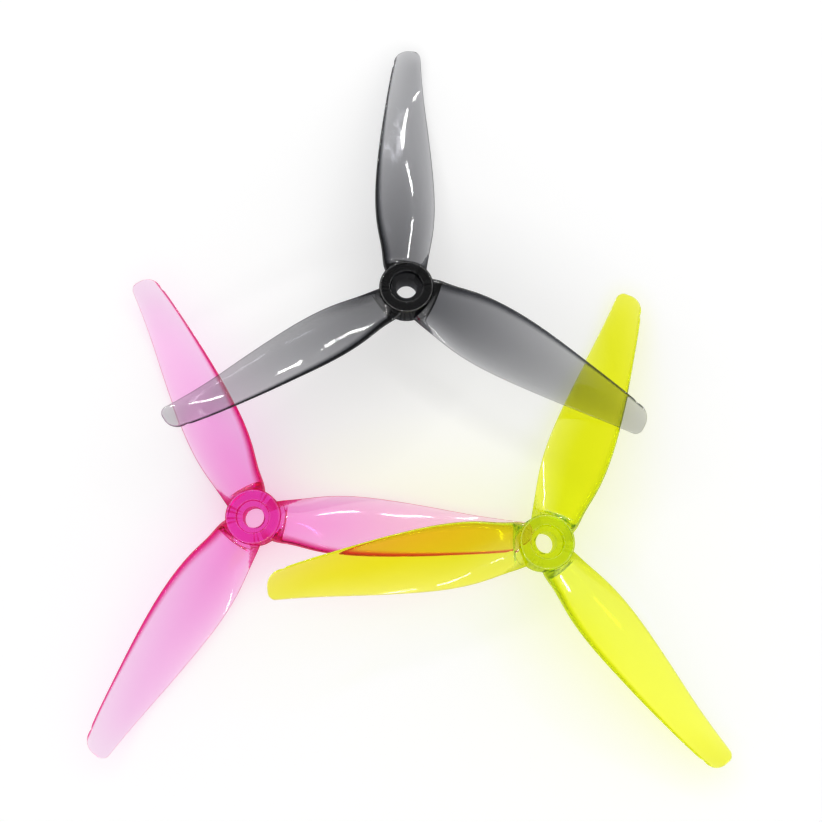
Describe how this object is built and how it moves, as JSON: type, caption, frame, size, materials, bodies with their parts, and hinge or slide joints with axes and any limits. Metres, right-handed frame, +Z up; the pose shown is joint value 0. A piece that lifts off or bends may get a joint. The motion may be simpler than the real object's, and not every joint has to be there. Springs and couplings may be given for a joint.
{
  "type": "drone propellers",
  "caption": "Loose multi-blade racing drone propellers of clear tinted plastic, with twisted blades and bored hubs, lying across each other; they push air when spun.",
  "frame": {"origin": "centre of the set's bounding box in plan, on the surface that it lies on", "axes": "+Z up, along the pink propeller's shaft; +Y towards the smoke propeller, the far side of the picture; +X towards the yellow propeller, the picture's right"},
  "size_m": [0.1484, 0.1784, 0.0141],
  "materials": {
    "pink_plastic": "clear injection-moulded polycarbonate, tinted through, glossy",
    "yellow_plastic": "clear injection-moulded polycarbonate, tinted through, glossy",
    "smoke_plastic": "clear injection-moulded polycarbonate, tinted through, glossy"
  },
  "bodies": {
    "pink": {"pink_propeller": "pink_plastic"},
    "yellow": {"yellow_propeller": "yellow_plastic"},
    "smoke": {"smoke_propeller": "smoke_plastic"}
  },
  "joints": [
    {"name": "lift_yellow", "type": "slide", "parent": "pink", "child": "yellow", "axis": [0, 0, 1], "range_m": [0, 0.06]},
    {"name": "lift_smoke", "type": "slide", "parent": "yellow", "child": "smoke", "axis": [0, 0, 1], "range_m": [0, 0.06]}
  ]
}
